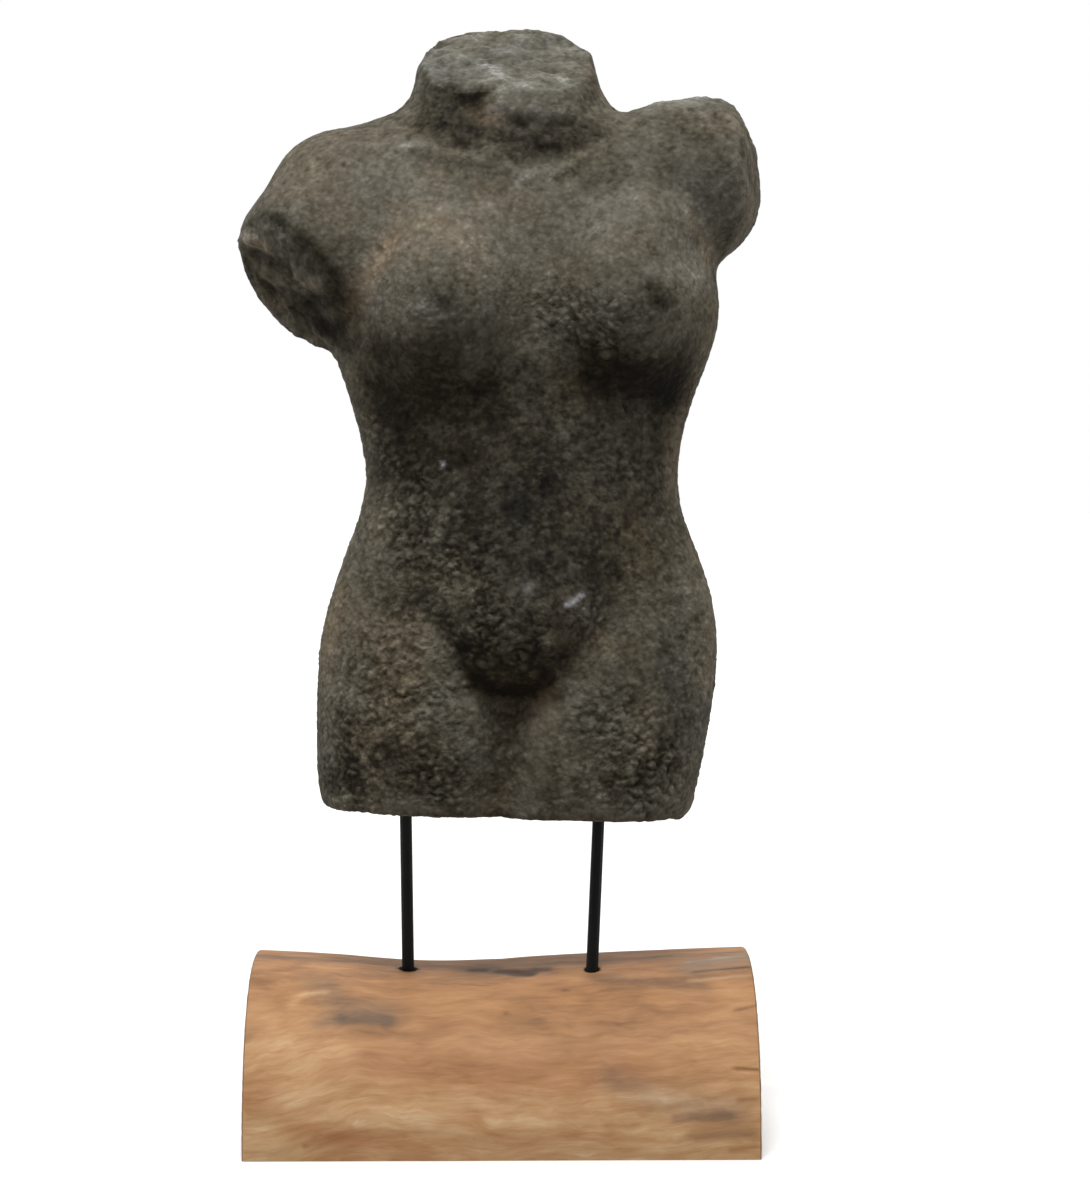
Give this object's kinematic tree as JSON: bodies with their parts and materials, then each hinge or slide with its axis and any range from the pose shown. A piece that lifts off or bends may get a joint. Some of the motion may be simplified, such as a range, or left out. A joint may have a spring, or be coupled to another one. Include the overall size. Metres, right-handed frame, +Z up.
{
  "type": "female torso sculpture",
  "caption": "Carved stone female torso with the head, arms and legs broken off, held above a half-round log base on slim black steel rods.",
  "frame": {"origin": "centre of the log base's flat underside", "axes": "+Z up, along the height; the figure faces -Y; +X along the log, towards the stump that is broken off square"},
  "size_m": [0.2847, 0.1852, 0.6017],
  "materials": {
    "stone": "matt, rough grey-brown, lighter on the broken neck",
    "wood": "smooth waxed, warm brown, grain along the log",
    "black_steel": "satin black"
  },
  "bodies": {
    "root": {"stone_torso": "stone", "half_log_base": "wood", "rod_left": "black_steel", "rod_right": "black_steel"}
  },
  "joints": []
}
